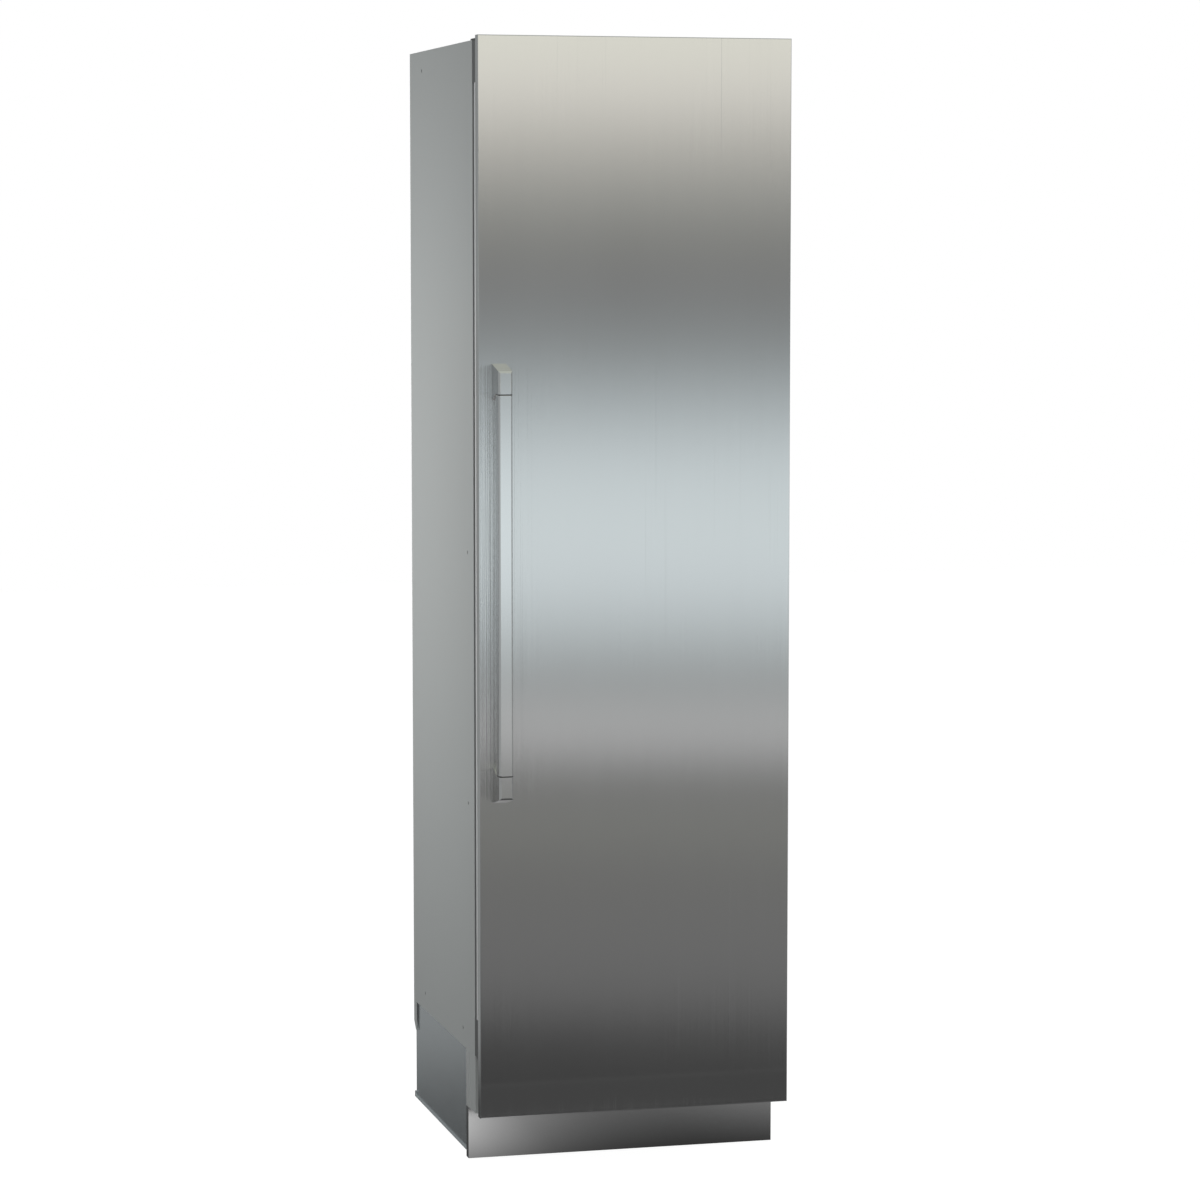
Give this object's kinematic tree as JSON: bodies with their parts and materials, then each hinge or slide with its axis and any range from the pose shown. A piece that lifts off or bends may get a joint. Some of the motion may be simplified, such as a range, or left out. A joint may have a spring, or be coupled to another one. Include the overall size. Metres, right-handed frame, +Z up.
{
  "type": "column refrigerator",
  "caption": "Tall built-in refrigerator with one right-hinged steel door, a bar handle, glass shelves, drawers, door bins and a base machine.",
  "frame": {"origin": "on the floor, below the centre of the whole object's box", "axes": "+X to the right seen from the front, +Y to the back, +Z up; the door's face looks along -Y"},
  "size_m": [0.603, 0.665, 2.124],
  "materials": {
    "casing": "satin grey sheet steel",
    "foam": "rigid foam",
    "liner": "satin white",
    "frame": "satin dark grey",
    "fastener": "zinc",
    "dark_plastic": "matt",
    "base": "galvanised",
    "polished_steel": "polished",
    "hinge": "zinc",
    "pin": "ground steel",
    "white_plastic": "matt",
    "brushed_steel": "brushed upright",
    "board": "grey-faced board",
    "handle_steel": "brushed along",
    "door_shell": "satin",
    "seal": "matt",
    "clear_plastic": "clear",
    "light": "frosted",
    "control": "gloss black",
    "glass": "toughened",
    "trim": "satin",
    "duct": "satin",
    "fins": "bright",
    "black_plastic": "matt",
    "rail": "zinc",
    "black_metal": "gloss",
    "rubber": "matt",
    "copper": "drawn copper",
    "foot": "zinc"
  },
  "bodies": {
    "cabinet": {"casing_left": "casing", "casing_right": "casing", "casing_top": "casing", "casing_bottom": "casing", "rear_panel": "casing", "cabinet_foam": "foam", "inner_liner": "liner", "front_frame": "frame", "side_screws": "fastener", "top_gap_strip": "dark_plastic", "base_sides": "base", "base_floor": "base", "base_back_cover": "base", "front_apron": "casing", "toe_kick": "polished_steel", "hinge_brackets": "hinge", "hinge_pins": "pin", "light_strips": "light", "control_panel": "control", "shelf_glass": "glass", "shelf_trims": "trim", "air_duct_cover": "duct", "evaporator": "fins", "evaporator_fan_housing": "white_plastic", "drawer_carriers": "white_plastic", "compressor": "black_metal", "compressor_grommets": "rubber", "drip_pan": "black_plastic", "condenser": "fins", "condenser_fan_housing": "black_plastic", "refrigerant_line": "copper", "electronics_box": "black_plastic", "mains_inlet": "black_plastic", "shelf_supports": "white_plastic", "drawer_rails": "rail"},
    "door": {"hinge_bushes": "white_plastic", "front_panel": "brushed_steel", "panel_core": "board", "handle_bar": "handle_steel", "handle_posts": "handle_steel", "handle_screws": "fastener", "door_outer_shell": "door_shell", "door_foam": "foam", "door_inner_liner": "liner", "door_gasket": "seal", "door_edge_caps": "dark_plastic"},
    "door_bin_lower": {"door_bin_lower": "clear_plastic"},
    "door_bin_middle": {"door_bin_middle": "clear_plastic"},
    "door_bin_upper": {"door_bin_upper": "clear_plastic"},
    "bottle_divider": {"bottle_divider": "clear_plastic"},
    "drawer_lower": {"drawer_lower": "clear_plastic", "drawer_lower_runners": "rail"},
    "drawer_upper": {"drawer_upper": "clear_plastic", "drawer_upper_runners": "rail"},
    "evaporator_fan": {"evaporator_fan_rotor": "white_plastic"},
    "condenser_fan": {"condenser_fan_rotor": "black_plastic"},
    "foot_front_left": {"foot_front_left": "foot"},
    "foot_front_right": {"foot_front_right": "foot"},
    "foot_rear_left": {"foot_rear_left": "foot"},
    "foot_rear_right": {"foot_rear_right": "foot"}
  },
  "joints": [
    {"name": "door_swing", "type": "hinge", "parent": "cabinet", "child": "door", "pos_m": [0.2895, -0.2512, 0.2135], "axis": [0, 0, 1], "range_deg": [0, 115]},
    {"name": "evaporator_fan_spin", "type": "hinge", "parent": "cabinet", "child": "evaporator_fan", "pos_m": [0, 0.2235, 1.5], "axis": [0, 1, 0], "continuous": true},
    {"name": "condenser_fan_spin", "type": "hinge", "parent": "cabinet", "child": "condenser_fan", "pos_m": [-0.175, -0.037, 0.096], "axis": [0, 1, 0], "continuous": true},
    {"name": "door_bin_lower_lift", "type": "slide", "parent": "door", "child": "door_bin_lower", "axis": [0, 0, 1], "range_m": [0, 0.03]},
    {"name": "door_bin_middle_lift", "type": "slide", "parent": "door", "child": "door_bin_middle", "axis": [0, 0, 1], "range_m": [0, 0.03]},
    {"name": "door_bin_upper_lift", "type": "slide", "parent": "door", "child": "door_bin_upper", "axis": [0, 0, 1], "range_m": [0, 0.03]},
    {"name": "bottle_divider_slide", "type": "slide", "parent": "door_bin_lower", "child": "bottle_divider", "axis": [1, 0, 0], "range_m": [-0.24, 0.13]},
    {"name": "drawer_lower_slide", "type": "slide", "parent": "cabinet", "child": "drawer_lower", "axis": [0, -1, 0], "range_m": [0, 0.19068]},
    {"name": "drawer_upper_slide", "type": "slide", "parent": "cabinet", "child": "drawer_upper", "axis": [0, -1, 0], "range_m": [0, 0.12043]},
    {"name": "foot_front_left_screw", "type": "slide", "parent": "cabinet", "child": "foot_front_left", "axis": [0, 0, -1], "range_m": [0, 0.02]},
    {"name": "foot_front_right_screw", "type": "slide", "parent": "cabinet", "child": "foot_front_right", "axis": [0, 0, -1], "range_m": [0, 0.02]},
    {"name": "foot_rear_left_screw", "type": "slide", "parent": "cabinet", "child": "foot_rear_left", "axis": [0, 0, -1], "range_m": [0, 0.02]},
    {"name": "foot_rear_right_screw", "type": "slide", "parent": "cabinet", "child": "foot_rear_right", "axis": [0, 0, -1], "range_m": [0, 0.02]}
  ],
  "couplings": [
    {"joint": "drawer_lower_slide", "follows": "door_swing", "m_per_rad": 0.095},
    {"joint": "drawer_upper_slide", "follows": "door_swing", "m_per_rad": 0.06}
  ]
}
